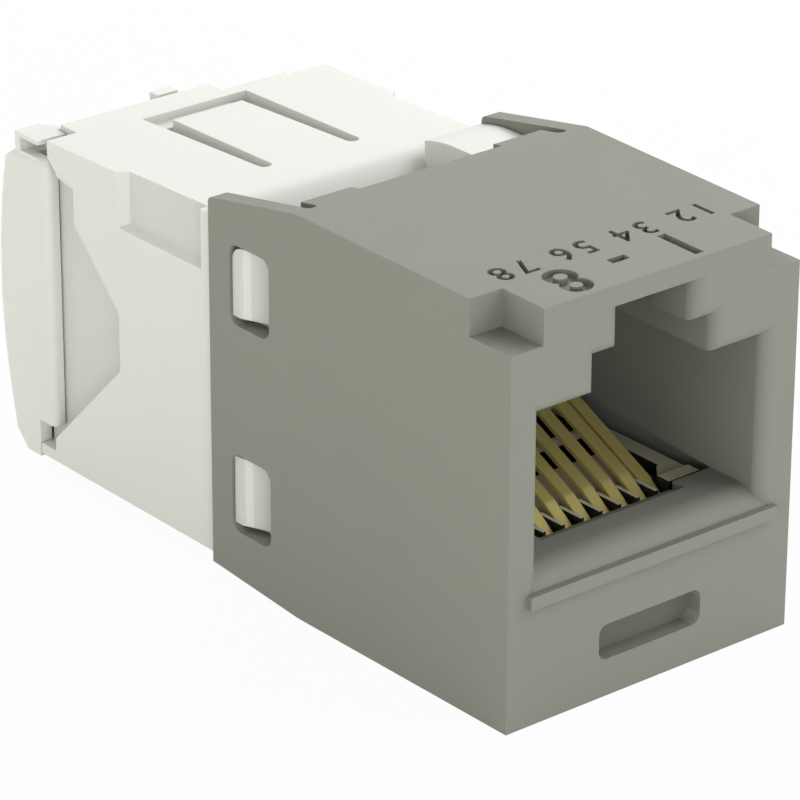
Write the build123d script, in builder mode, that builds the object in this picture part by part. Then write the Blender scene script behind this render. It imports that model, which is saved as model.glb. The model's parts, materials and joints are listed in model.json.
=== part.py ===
from build123d import *
from math import acos, cos, degrees, sin, sqrt, radians
import os

# A snap-in jack for an eight-way modular plug, in millimetres. Z is up, X runs across, and Y runs
# from the front face to the cable end. The origin is under the middle of the jack. Places along Y are
# given as depths behind the front face, and at(depth) turns a depth into a Y value.

# Plug opening
plug_width = 11.94
plug_height = 6.9
key_width = 6.3
key_height = 1.65
latch_width = 3.96
latch_height = 1.95
latch_wall = 2.5
roof_over_keyway = 0.9
entry_radius = 0.63
roll_radius = 1.42
roll_drop = 0.85
floor_cut_width = 7.7
floor_cut_length = 0.73
floor_cut_depth = 0.34

# Front housing
front_width = 15.25
front_height = 18.0
shoulder_depth = 13.1
side_swell = 0.155
top_swell = 0.18
housing_length = 18.95
tail_drop = 1.07
tail_rise = 0.41
fin_thickness = 0.84
fin_corner = 0.3
plate_thickness = 0.72
plate_end = 14.5
relief_width = 7.6
relief_depth = 0.55
slit_width = 0.52
slit_length = 1.2
housing_floor = 1.2
notch_width = 1.62
notch_height = 1.57
notch_depth = 2.46
lip_reach = 0.3
lip_height = 0.58
lip_step = 0.7
lip_overhang = 0.68
label_width = 5.5
label_height = 1.58
label_depth = 0.8
label_corner = 0.42
label_centre = 2.46
window_start = 14.92
window_length = 2.63
window_height = 3.57
window_base = 2.48
window_top_step = 2.47
window_corner = 0.5

# Chamber under the plug floor, which holds the contact carrier
chamber_start = 3.03
chamber_margin = 0.65
chamber_floor = 1.3
chamber_rise = 0.55

# Rear body
body_clearance = 0.1
body_inset = 0.2
body_front = 13.6
body_rear = 30.7
body_bottom = 0.72
body_step = 2.07
roof_swell = 0.34
brow_depth = 18.4
brow_radius = 1.5
ridge_start = 3.7
ridge_end = 18.85
ridge_fall = 0.3
ridge_round = 2.0
roof_thickness = 0.88
roof_tail = 1.2
roof_tail_left = 5.98
roof_tail_right = 2.08
sill_tail = 1.1
sill_height = 0.5
tongue_width = 3.8
tongue_length = 7.1
tongue_end = 29.25
tongue_gap = 0.95
tongue_gap_front = 0.64
tongue_void = 1.1
ledge_drop = 0.35
ledge_gap = 0.1
pocket_start = 19.75
pocket_end = 25.6
pocket_height = 2.38
pocket_depth = 0.43
pocket_slope = 0.34
recess_depth = 0.68
recess_step = 0.73
recess_upper_depth = 28.83
recess_upper_step = 1.67
recess_kink = 0.2
recess_corner_step = 3.28
recess_front = 25.68
recess_lower = 6.83
rail_width = 0.6
lug_height = 3.1
lug_reach = 0.12
lug_flat = 0.5
lug_corner = 0.6
lug_clearance = 0.15
lug_rear_gap = 0.05
keyway_wall = 0.8

# Contacts and their carrier; the contact's points are a depth and a height over the plug's floor
pitch = 1.016
contact_count = 8
contact_width = 0.58
contact_thickness = 0.25
contact_tip = (3.3, -0.84)
contact_knee = (4.6, 0.06)
contact_heel = (12.5, 3.69)
contact_bend = 0.8
outer_contact_drop = 0.35
carrier_margin = 0.35
carrier_front = 3.35
carrier_drop = 0.15
arm_width = 0.81
arm_step = 0.12
foot_gap = 0.104
foot_length = 0.7
gusset_length = 1.05
divider_thickness = 0.2
divider_length = 1.4
divider_nose = 0.25
divider_height = 2.4
divider_step = 0.05
comb_wall = 0.45
ramp_clearance = 0.68
ramp_gap = 0.6
ramp_thickness = 0.3
ramp_edge = 0.66
ramp_window_lengths = (1.17, 1.5)
ramp_window_start = 6.45
ramp_window_corner = 0.4
ramp_bar = 0.18
carrier_wall = 1.0
carrier_wall_rise = 6.3
carrier_slot = 0.72

# Circuit board
board_depth = 13.9
board_thickness = 1.4
board_margin = 0.84
board_bottom = 2.1
board_top_step = 1.17
board_clearance = 0.1
contact_hole = 0.36
pin_hole = 0.42

# Wire terminals
terminal_inset = 2.58
terminal_spread = 3.5
terminal_row_inset = 1.7
terminal_width = 2.2
terminal_thickness = 0.5
terminal_end = 29.4
terminal_pin = 0.5
terminal_fork = 3.4
terminal_gap = 0.4
terminal_clearance = 0.1
wire_slot_width = 1.3
wire_slot_height = 3.0
wire_slot_start = 25.7

# Termination cap
cap_clearance = 0.06
cap_wall = 0.6
cap_step = 1.03
cap_bottom = 0.55
cap_flange = 1.75
cap_length = 3.09
cap_heel_step = 0.75
cap_bulge = 0.65
cap_rear_wall = 0.7
cap_slope = 0.55
cap_foot_chamfer = 0.8
cap_cutout = 1.04
cap_rim = 1.0
cap_edge_radius = 0.4
cap_plate_radius = 0.3
entry_width = 8.6
entry_height = 5.6
entry_corner = 1.6
pusher_width = 0.9
pusher_height = 2.4
pusher_reach = 0.6
tab_length = 1.7
tab_width = 1.78
tab_step = 0.28
tab_thickness = 0.2
tab_rise = 0.8
tab_corner = (0.51, 0.8)
tab_wall = 0.38
tab_hole = (0.6, 0.85)
tab_hole_inset = 0.48
post_width = 1.1
post_length = 0.6
post_rise = 1.05
post_centre = -0.05

# Sizes worked out from those above
shoulder_width = front_width + 2 * side_swell
shoulder_height = front_height + top_swell
latch_top = front_height - roof_over_keyway
key_top = latch_top - latch_height
plug_top = key_top - key_height
plug_floor = plug_top - plug_height
lip_top = plug_floor - lip_step
window_heights = (
    window_base + window_height / 2,
    front_height - window_top_step - window_height / 2,
)
fin_inner = shoulder_width / 2 - fin_thickness
plate_underside = shoulder_height - tail_drop * 0.25 - plate_thickness
core_width = 2 * (fin_inner - body_clearance)
body_start = housing_length + body_clearance
body_half = shoulder_width / 2 - body_inset
body_top = front_height - body_step
core_top = body_top + roof_swell - brow_radius
recess_top = body_top - recess_step
recess_floor = body_bottom + sill_height
board_rear = board_depth + board_thickness
board_width = core_width - 2 * board_margin
carrier_width = board_width - 2 * carrier_margin
chamber_width = carrier_width + 2 * chamber_margin
arm_inner = carrier_width / 2 - arm_width
foot_inner = ((contact_count - 1) * pitch + contact_width) / 2 + foot_gap
ramp_width = 2 * (arm_inner - ramp_clearance)
ramp_window_width = ramp_width - 2 * ramp_edge
board_top = core_top - board_top_step
board_height = board_top - board_bottom
terminal_rows = (board_bottom + terminal_row_inset, board_top - terminal_row_inset)
terminal_outer = body_half - terminal_inset
terminal_columns = (-terminal_outer, -terminal_spread / 2, terminal_spread / 2, terminal_outer)
carrier_rear = body_front - body_clearance
carrier_floor = chamber_floor + body_clearance
carrier_top = plug_floor - carrier_drop
divider_top = carrier_top - divider_step
comb_floor = divider_top - divider_height
comb_end = carrier_front + divider_length - divider_nose
contact_rise = contact_heel[1] - contact_knee[1]
contact_slope = contact_rise / (contact_heel[0] - contact_knee[0])
contact_level = plug_floor + contact_heel[1]
cap_front = body_rear + cap_clearance
cap_shoulder = cap_front + cap_length
cap_heel = cap_shoulder - cap_heel_step
cap_bow = cap_shoulder + cap_bulge
cap_top = body_top - cap_step
tab_start = cap_heel - tab_length
tab_top = cap_top + tab_rise
cap_middle = (cap_top + cap_bottom) / 2
ridge_top = plate_underside - body_clearance
front = lip_reach - (cap_bow + lip_reach) / 2


def at(depth):
    """Return the Y value of a place that lies depth behind the front face."""
    return front + depth


def cross(depth):
    """Return the upright plane across the jack at a depth; a negative extrude runs rearwards."""
    return Plane.XZ.offset(-at(depth))


def side_points(points):
    """Turn (depth, height) pairs into points of the side view."""
    return [(at(depth), height) for depth, height in points]


def ramp_top(depth):
    """Return the height of the carrier's ramp, which runs under the contacts, at a depth."""
    return plug_floor + contact_knee[1] - ramp_gap + contact_slope * (depth - contact_knee[0])


def finish(piece, name):
    """Label a finished piece and write its file."""
    piece.part.label = name
    export_step(piece.part, f"parts/{name}.step")


os.makedirs("parts", exist_ok=True)

# The space that the floor of the plug opening leaves where it rolls down at the front
roll_turn = degrees(acos((roll_radius - roll_drop) / roll_radius))
roll_reach = roll_radius * sin(radians(roll_turn))
with BuildPart() as roll_space:
    with BuildSketch(Plane.YZ):
        with BuildLine():
            roll = CenterArc((at(roll_reach), plug_floor - roll_radius), roll_radius, 90, roll_turn)
            Polyline(roll @ 1, (at(-1), (roll @ 1).Y), (at(-1), plug_floor), roll @ 0)
        make_face()
    extrude(amount=front_width / 2, both=True)
    with BuildSketch(Plane.XY):
        with BuildLine():
            mouth_half = plug_width / 2 + entry_radius
            flare = [
                RadiusArc(
                    (side * mouth_half, at(0)),
                    (side * plug_width / 2, at(entry_radius)),
                    side * entry_radius,
                )
                for side in (-1, 1)
            ]
            Polyline(
                (-mouth_half, at(0)), (-mouth_half, at(-1)), (mouth_half, at(-1)), (mouth_half, at(0))
            )
            Polyline(
                (-plug_width / 2, at(entry_radius)),
                (-plug_width / 2, at(2 * roll_reach)),
                (plug_width / 2, at(2 * roll_reach)),
                (plug_width / 2, at(entry_radius)),
            )
        make_face()
    extrude(amount=front_height, mode=Mode.INTERSECT)

# Front housing: a drafted box with a tail of two side fins that hold the rear body
with BuildPart() as housing:
    with BuildSketch(Plane.YZ):
        with BuildLine():
            Polyline(
                *side_points(
                    [
                        (0, 0),
                        (shoulder_depth, 0),
                        (housing_length, tail_rise),
                        (housing_length, shoulder_height - tail_drop),
                        (shoulder_depth, shoulder_height),
                        (0, front_height),
                    ]
                ),
                close=True,
            )
        make_face()
    extrude(amount=shoulder_width, both=True)
    with BuildSketch(Plane.XY):
        with BuildLine():
            Polyline(
                (-front_width / 2, at(0)),
                (front_width / 2, at(0)),
                (shoulder_width / 2, at(shoulder_depth)),
                (shoulder_width / 2, at(housing_length)),
                (-shoulder_width / 2, at(housing_length)),
                (-shoulder_width / 2, at(shoulder_depth)),
                close=True,
            )
        make_face()
    extrude(amount=shoulder_height, mode=Mode.INTERSECT)
    fin_edges = housing.edges().filter_by(Axis.X).group_by(Axis.Y)[-1]
    fillet(fin_edges.sort_by(Axis.Z)[-1], radius=fin_corner)

    # Plug opening with its two-step latch keyway
    with BuildSketch(cross(0)):
        with Locations((0, plug_floor + plug_height / 2)):
            Rectangle(plug_width, plug_height)
        with Locations((0, plug_top + key_height / 2)):
            Rectangle(key_width, key_height)
    extrude(amount=-body_front, mode=Mode.SUBTRACT)
    with BuildSketch(cross(0)):
        with Locations((0, key_top + latch_height / 2)):
            Rectangle(latch_width, latch_height)
    extrude(amount=-latch_wall, mode=Mode.SUBTRACT)
    with BuildSketch(cross(latch_wall)):
        with Locations((0, key_top + latch_height / 2)):
            Rectangle(key_width, latch_height)
    extrude(amount=latch_wall - body_front, mode=Mode.SUBTRACT)
    entry_edges = housing.edges().filter_by(
        lambda edge: abs(edge.center().Y - at(0)) < 0.001
        and abs(edge.center().X) < plug_width / 2 + 0.001
        and plug_floor + 0.001 < edge.center().Z < latch_top - 0.001
    )
    fillet(entry_edges, radius=entry_radius)

    # The floor rolls down at the front to a thin lip that stands proud of the face
    add(roll_space.part, mode=Mode.SUBTRACT)
    with BuildSketch(cross(0)):
        with Locations((0, lip_top - lip_height / 2)):
            Rectangle(plug_width + 2 * lip_overhang, lip_height)
    extrude(amount=lip_reach)

    # The floor's rear edge is cut down a little in front of the contacts
    with BuildSketch(Plane.YZ):
        with BuildLine():
            Polyline(
                (at(chamber_start - floor_cut_length), plug_floor),
                (at(chamber_start), plug_floor),
                (at(chamber_start), plug_floor - floor_cut_depth),
                close=True,
            )
        make_face()
    extrude(amount=floor_cut_width / 2, both=True, mode=Mode.SUBTRACT)

    # Shallow label recess and the two corner notches of the front
    with BuildSketch(cross(0)):
        with Locations((0, label_centre)):
            RectangleRounded(label_width, label_height, label_corner)
    extrude(amount=-label_depth, mode=Mode.SUBTRACT)
    with BuildSketch(cross(0)):
        with Locations((-front_width / 2, front_height), (front_width / 2, front_height)):
            Rectangle(2 * notch_width, 2 * notch_height)
    extrude(amount=-notch_depth, mode=Mode.SUBTRACT)

    # Chamber for the contact carrier, with its side edge rising towards the rear
    with BuildSketch(Plane.YZ):
        with BuildLine():
            Polyline(
                *side_points(
                    [
                        (chamber_start, chamber_floor),
                        (body_front, chamber_floor),
                        (body_front, plug_floor + chamber_rise),
                        (chamber_start, plug_floor),
                    ]
                ),
                close=True,
            )
        make_face()
    extrude(amount=chamber_width / 2, both=True, mode=Mode.SUBTRACT)

    # Room for the rear body between the fins, open at the top behind the roof plate
    with BuildSketch(cross(plate_end - slit_length)):
        with Locations((0, (housing_floor + plate_underside) / 2)):
            Rectangle(2 * fin_inner, plate_underside - housing_floor)
    extrude(amount=-housing_length, mode=Mode.SUBTRACT)
    with BuildSketch(Plane.XY.offset(plate_underside)):
        tail = housing_length - plate_end
        with Locations((0, at(plate_end + tail / 2))):
            Rectangle(2 * fin_inner, tail)
        with Locations((0, at(plate_end))):
            Rectangle(relief_width, 2 * relief_depth)
        slit_centre = fin_inner - slit_width / 2
        with Locations((-slit_centre, at(plate_end)), (slit_centre, at(plate_end))):
            SlotOverall(2 * slit_length, slit_width, rotation=90)
    extrude(amount=shoulder_height, mode=Mode.SUBTRACT)

    # Windows for the rear body's snap lugs
    with BuildSketch(Plane.YZ):
        window_middle = at(window_start + window_length / 2)
        with Locations(*[(window_middle, height) for height in window_heights]):
            RectangleRounded(window_length, window_height, window_corner)
    extrude(amount=shoulder_width, both=True, mode=Mode.SUBTRACT)
finish(housing, "front_housing")

# Rear body: a core that plugs into the housing and a block that carries the terminals
with BuildPart() as body:
    with BuildSketch(Plane.YZ):
        with BuildLine():
            brow = CenterArc((at(brow_depth + brow_radius), core_top), brow_radius, 90, 90)
            Polyline(
                brow @ 1,
                *side_points(
                    [
                        (body_front, core_top),
                        (body_front, chamber_floor),
                        (body_start, chamber_floor),
                        (body_start, body_bottom),
                        (body_rear + sill_tail, body_bottom),
                        (body_rear + sill_tail, body_bottom + sill_height),
                        (body_rear, body_bottom + sill_height),
                        (body_rear, body_top),
                    ]
                ),
                brow @ 0,
            )
        make_face()
    extrude(amount=body_half, both=True)
    with BuildSketch(Plane.XY):
        trim = body_start - body_front
        for side in (-1, 1):
            with Locations((side * (core_width / 2 + fin_inner), at(body_front + trim / 2))):
                Rectangle(2 * fin_inner, trim)
    extrude(amount=shoulder_height, mode=Mode.SUBTRACT)

    # The ridge on the right, whose top falls away behind
    with BuildSketch(Plane.YZ.offset(ridge_start)):
        with BuildLine():
            Polyline(
                *side_points(
                    [
                        (ridge_end, ridge_top - ridge_fall),
                        (ridge_end, core_top - 1),
                        (body_front, core_top - 1),
                        (body_front, ridge_top),
                        (ridge_end - ridge_round, ridge_top),
                    ]
                )
            )
            TangentArc(
                (at(ridge_end - ridge_round), ridge_top),
                (at(ridge_end), ridge_top - ridge_fall),
                tangent=(1, 0),
            )
        make_face()
    extrude(amount=core_width / 2 - ridge_start)

    # A wall across the front of the core, which closes the latch keyway under the roof plate
    with BuildSketch(cross(body_front)):
        with Locations((0, core_top - 1)):
            Rectangle(core_width, ridge_top - core_top + 1, align=(Align.CENTER, Align.MIN))
    extrude(amount=-keyway_wall)

    # Roof plate: its tail, and the sprung tongue that a U-shaped gap leaves
    with BuildSketch(Plane.XY.offset(body_top - roof_thickness)):
        with Locations(((roof_tail_right - roof_tail_left) / 2, at(body_rear))):
            Rectangle(roof_tail_left + roof_tail_right, 2 * roof_tail)
    extrude(amount=roof_thickness)
    void_length = tongue_length + tongue_gap
    void_middle = at(tongue_end + tongue_gap - void_length / 2)
    with BuildSketch(Plane.XY.offset(body_top - roof_thickness - tongue_void)):
        with Locations((0, void_middle)):
            Rectangle(tongue_width + 2 * tongue_gap, void_length)
    extrude(amount=tongue_void, mode=Mode.SUBTRACT)
    with BuildSketch(Plane.XY.offset(body_top - roof_thickness)):
        for side in (-1, 1):
            inner = side * tongue_width / 2
            outer = side * (tongue_width / 2 + tongue_gap)
            root = at(tongue_end - tongue_length)
            middle = side * (tongue_width + tongue_gap) / 2
            with BuildLine():
                Polyline(
                    (middle + side * tongue_gap_front / 2, root),
                    (outer, at(tongue_end + tongue_gap)),
                    (0, at(tongue_end + tongue_gap)),
                    (0, at(tongue_end)),
                    (inner, at(tongue_end)),
                    (middle - side * tongue_gap_front / 2, root),
                )
                ThreePointArc(
                    (middle - side * tongue_gap_front / 2, root),
                    (middle, root - tongue_gap_front / 2),
                    (middle + side * tongue_gap_front / 2, root),
                )
            make_face()
    extrude(amount=2 * roof_thickness, mode=Mode.SUBTRACT)
    with BuildSketch(Plane.XY.offset(body_top - roof_thickness)):
        with Locations((0, at(tongue_end + ledge_gap))):
            Rectangle(
                tongue_width + 2 * tongue_gap,
                tongue_gap - ledge_gap,
                align=(Align.CENTER, Align.MIN),
            )
        with Locations((tongue_width / 2, at(tongue_end))):
            Rectangle(tongue_gap, tongue_gap, align=(Align.MIN, Align.MIN), mode=Mode.SUBTRACT)
    extrude(amount=roof_thickness - ledge_drop)

    # Side pockets with sloping walls, and the recesses that the cap's side plates slide into
    for side in (-1, 1):
        with BuildSketch(Plane.YZ.offset(side * body_half)):
            with Locations((at(pocket_start), body_top - pocket_height)):
                Rectangle(pocket_end - pocket_start, body_top, align=(Align.MIN, Align.MIN))
        with BuildSketch(Plane.YZ.offset(side * (body_half - pocket_depth))):
            with Locations((at(pocket_start), body_top - pocket_height + pocket_slope / 2)):
                Rectangle(
                    pocket_end - pocket_start - pocket_slope, body_top, align=(Align.MIN, Align.MIN)
                )
        loft(ruled=True, mode=Mode.SUBTRACT)
    recess_upper = body_top - recess_upper_step
    recess_corner = body_top - recess_corner_step
    recess_open = body_rear + sill_tail
    recess_outline = side_points(
        [
            (recess_open + 1, recess_top),
            (body_rear, recess_top),
            (body_rear - recess_top + recess_upper + recess_kink, recess_upper + recess_kink),
            (recess_upper_depth, recess_upper),
            (recess_upper_depth, recess_corner),
            (recess_front, recess_corner - recess_upper_depth + recess_front),
            (recess_front, recess_lower),
            (recess_front + recess_lower - recess_floor, recess_floor),
            (recess_open + 1, recess_floor),
        ]
    )
    for side in (-1, 1):
        with BuildSketch(Plane.YZ.offset(side * (body_half - recess_depth))):
            with BuildLine():
                Polyline(*recess_outline, close=True)
            make_face()
        extrude(amount=side * 2 * recess_depth, mode=Mode.SUBTRACT)

    # Upright rails behind the block, which steer the cap's side plates
    with BuildSketch(cross(body_rear)):
        rail_place = body_half - recess_depth - rail_width / 2
        with Locations((-rail_place, recess_floor), (rail_place, recess_floor)):
            rail_height = cap_top - cap_wall - 2 * cap_clearance - recess_floor
            Rectangle(rail_width, rail_height, align=(Align.CENTER, Align.MIN))
    extrude(amount=-sill_tail)

    # Pocket for the circuit board, channels for the terminals and slots for the wires
    with BuildSketch(cross(body_front)):
        with Locations((0, board_bottom + board_height / 2)):
            Rectangle(board_width + 2 * board_clearance, board_height + 2 * board_clearance)
    extrude(amount=body_front - board_rear - board_clearance, mode=Mode.SUBTRACT)
    terminal_places = [(x, z) for z in terminal_rows for x in terminal_columns]
    with BuildSketch(cross(board_rear)):
        with Locations(*terminal_places):
            Rectangle(
                terminal_width + 2 * terminal_clearance, terminal_thickness + 2 * terminal_clearance
            )
    extrude(amount=board_rear - body_rear, mode=Mode.SUBTRACT)
    with BuildSketch(cross(wire_slot_start)):
        with Locations(*terminal_places):
            Rectangle(wire_slot_width, wire_slot_height)
    extrude(amount=wire_slot_start - body_rear, mode=Mode.SUBTRACT)

    # Snap lugs: rounded behind, with a ramp at the front
    lug_start = window_start + lug_clearance
    lug_end = window_start + window_length - lug_rear_gap
    lug_face = shoulder_width / 2 - lug_reach
    lug_tops = [height + window_height / 2 - lug_clearance for height in window_heights]
    for side in (-1, 1):
        with BuildSketch(Plane.YZ.offset(side * core_width / 2)) as lugs:
            for top in lug_tops:
                with Locations((at(lug_start), top)):
                    Rectangle(lug_end - lug_start, lug_height, align=(Align.MIN, Align.MAX))
            fillet(lugs.vertices().group_by(Axis.Y)[-1], radius=lug_corner)
        extrude(amount=side * (lug_face - core_width / 2))
        for top in lug_tops:
            with BuildSketch(Plane.XY.offset(top - lug_height)):
                with BuildLine():
                    Polyline(
                        (side * core_width / 2, at(lug_start)),
                        (side * lug_face, at(lug_end - lug_flat)),
                        (side * lug_face, at(lug_start)),
                        close=True,
                    )
                make_face()
            extrude(amount=lug_height, mode=Mode.SUBTRACT)
finish(body, "rear_body")

# Contact carrier: a sled with two arms, a comb at the front, a ramp and a slotted wall at the rear
carrier_length = carrier_rear - carrier_front
contact_places = [(index - (contact_count - 1) / 2) * pitch for index in range(contact_count)]
contact_drops = [outer_contact_drop if abs(x) == max(contact_places) else 0 for x in contact_places]
with BuildPart() as carrier:
    with BuildSketch(Plane.XY.offset(carrier_floor)):
        with Locations((0, at(carrier_front + carrier_length / 2))):
            Rectangle(carrier_width, carrier_length)
    extrude(amount=carrier_top - carrier_floor)
    with BuildSketch(cross(carrier_rear - carrier_wall)):
        with Locations((0, plug_floor)):
            Rectangle(carrier_width, carrier_wall_rise, align=(Align.CENTER, Align.MIN))
        with Locations((0, plug_floor)):
            Rectangle(carrier_width, carrier_drop, align=(Align.CENTER, Align.MAX))
    extrude(amount=-carrier_wall)

    # The well between the arms, which goes right through, and the bay that the comb stands in
    gusset_end = carrier_front + foot_length + gusset_length
    well_start = comb_end + comb_wall
    well_end = carrier_rear - carrier_wall
    with BuildSketch(Plane.XY.offset(carrier_floor)):
        with Locations((0, at(well_start))):
            Rectangle(2 * arm_inner, well_end - well_start, align=(Align.CENTER, Align.MIN))
    extrude(amount=carrier_top, mode=Mode.SUBTRACT)
    with BuildSketch(Plane.XY.offset(ramp_top(comb_end))):
        with BuildLine():
            Polyline(
                (-foot_inner, at(carrier_front)),
                (foot_inner, at(carrier_front)),
                (foot_inner, at(carrier_front + foot_length)),
                (arm_inner, at(gusset_end)),
                (arm_inner, at(well_end)),
                (-arm_inner, at(well_end)),
                (-arm_inner, at(gusset_end)),
                (-foot_inner, at(carrier_front + foot_length)),
                close=True,
            )
        make_face()
    extrude(amount=carrier_top, mode=Mode.SUBTRACT)
    with BuildSketch(Plane.XY.offset(comb_floor)):
        with Locations((0, at(carrier_front))):
            Rectangle(2 * foot_inner, comb_end - carrier_front, align=(Align.CENTER, Align.MIN))
    extrude(amount=carrier_top, mode=Mode.SUBTRACT)

    # The arms and their gussets lie a little lower than the feet
    with BuildSketch(Plane.XY.offset(carrier_top - arm_step)):
        with Locations((0, at(carrier_front + foot_length))):
            Rectangle(
                carrier_width,
                well_end - carrier_front - foot_length,
                align=(Align.CENTER, Align.MIN),
            )
    extrude(amount=arm_step, mode=Mode.SUBTRACT)

    # The comb's dividers
    with BuildSketch(Plane.XY.offset(comb_floor)):
        with Locations((0, at(comb_end - divider_length / 2))):
            with GridLocations(pitch, 1, contact_count - 1, 1):
                Rectangle(divider_thickness, divider_length)
    extrude(amount=divider_height)

    # The ramp under the contacts, with two rows of openings across it
    with BuildSketch(Plane.YZ):
        with BuildLine():
            Polyline(
                *side_points(
                    [
                        (comb_end, ramp_top(comb_end)),
                        (well_end, ramp_top(well_end)),
                        (well_end, ramp_top(well_end) - ramp_thickness),
                        (comb_end, ramp_top(comb_end) - ramp_thickness),
                    ]
                ),
                close=True,
            )
        make_face()
    extrude(amount=ramp_width / 2, both=True)
    first, second = ramp_window_lengths
    for start, length in ((0, first), (first + ramp_bar, second)):
        with BuildSketch(Plane.XY.offset(carrier_floor)):
            with Locations((0, at(ramp_window_start + start + length / 2))):
                RectangleRounded(ramp_window_width, length, ramp_window_corner)
        extrude(amount=contact_level, mode=Mode.SUBTRACT)
    for x, drop in zip(contact_places, contact_drops):
        with BuildSketch(cross(carrier_rear - carrier_wall)):
            with Locations((x, contact_level - drop - contact_thickness)):
                Rectangle(carrier_slot, carrier_wall_rise, align=(Align.CENTER, Align.MIN))
        extrude(amount=-carrier_wall, mode=Mode.SUBTRACT)
finish(carrier, "contact_carrier")

# Circuit board, drilled for the contacts' tails and the terminals' pins
with BuildPart() as board:
    with BuildSketch(cross(board_depth)):
        with Locations((0, board_bottom + board_height / 2)):
            Rectangle(board_width, board_height)
        for x, drop in zip(contact_places, contact_drops):
            with Locations((x, contact_level - drop)):
                Circle(contact_hole, mode=Mode.SUBTRACT)
        with Locations(*terminal_places):
            Circle(pin_hole, mode=Mode.SUBTRACT)
    extrude(amount=-board_thickness)
finish(board, "circuit_board")

# Spring contacts: flat strips that rise from the comb to the circuit board
for number, (x, drop) in enumerate(zip(contact_places, contact_drops), start=1):
    with BuildPart() as contact:
        with BuildLine(Plane.YZ.offset(x)) as path:
            FilletPolyline(
                *side_points(
                    [
                        (contact_tip[0], plug_floor + contact_tip[1] - drop),
                        (contact_knee[0], plug_floor + contact_knee[1] - drop),
                        (contact_heel[0], contact_level - drop),
                        (board_rear, contact_level - drop),
                    ]
                ),
                radius=contact_bend,
            )
        with BuildSketch(Plane(path.line @ 0, x_dir=(1, 0, 0), z_dir=path.line % 0)):
            Rectangle(contact_width, contact_thickness)
        sweep()
    finish(contact, f"contact_{number}")

# Wire terminals: flat blades with a pin for the board and a fork for the wire
for number, (x, z) in enumerate(terminal_places, start=1):
    with BuildPart() as terminal:
        with BuildSketch(Plane.XY.offset(z - terminal_thickness / 2)):
            blade_start = board_rear + board_clearance
            with Locations((x, at(blade_start))):
                Rectangle(
                    terminal_width, terminal_end - blade_start, align=(Align.CENTER, Align.MIN)
                )
            with Locations((x, at(board_depth))):
                Rectangle(
                    terminal_pin, board_thickness + board_clearance, align=(Align.CENTER, Align.MIN)
                )
            with BuildLine(mode=Mode.PRIVATE) as mouth:
                Polyline(
                    (x - terminal_gap / 2, at(terminal_end - terminal_fork)),
                    (x + terminal_gap / 2, at(terminal_end - terminal_fork)),
                    (x + terminal_gap / 2, at(terminal_end - terminal_gap)),
                    (x + terminal_gap * 1.5, at(terminal_end)),
                    (x - terminal_gap * 1.5, at(terminal_end)),
                    (x - terminal_gap / 2, at(terminal_end - terminal_gap)),
                    close=True,
                )
            make_face(mouth.edges(), mode=Mode.SUBTRACT)
        extrude(amount=terminal_thickness)
    finish(terminal, f"idc_terminal_{number}")

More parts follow.
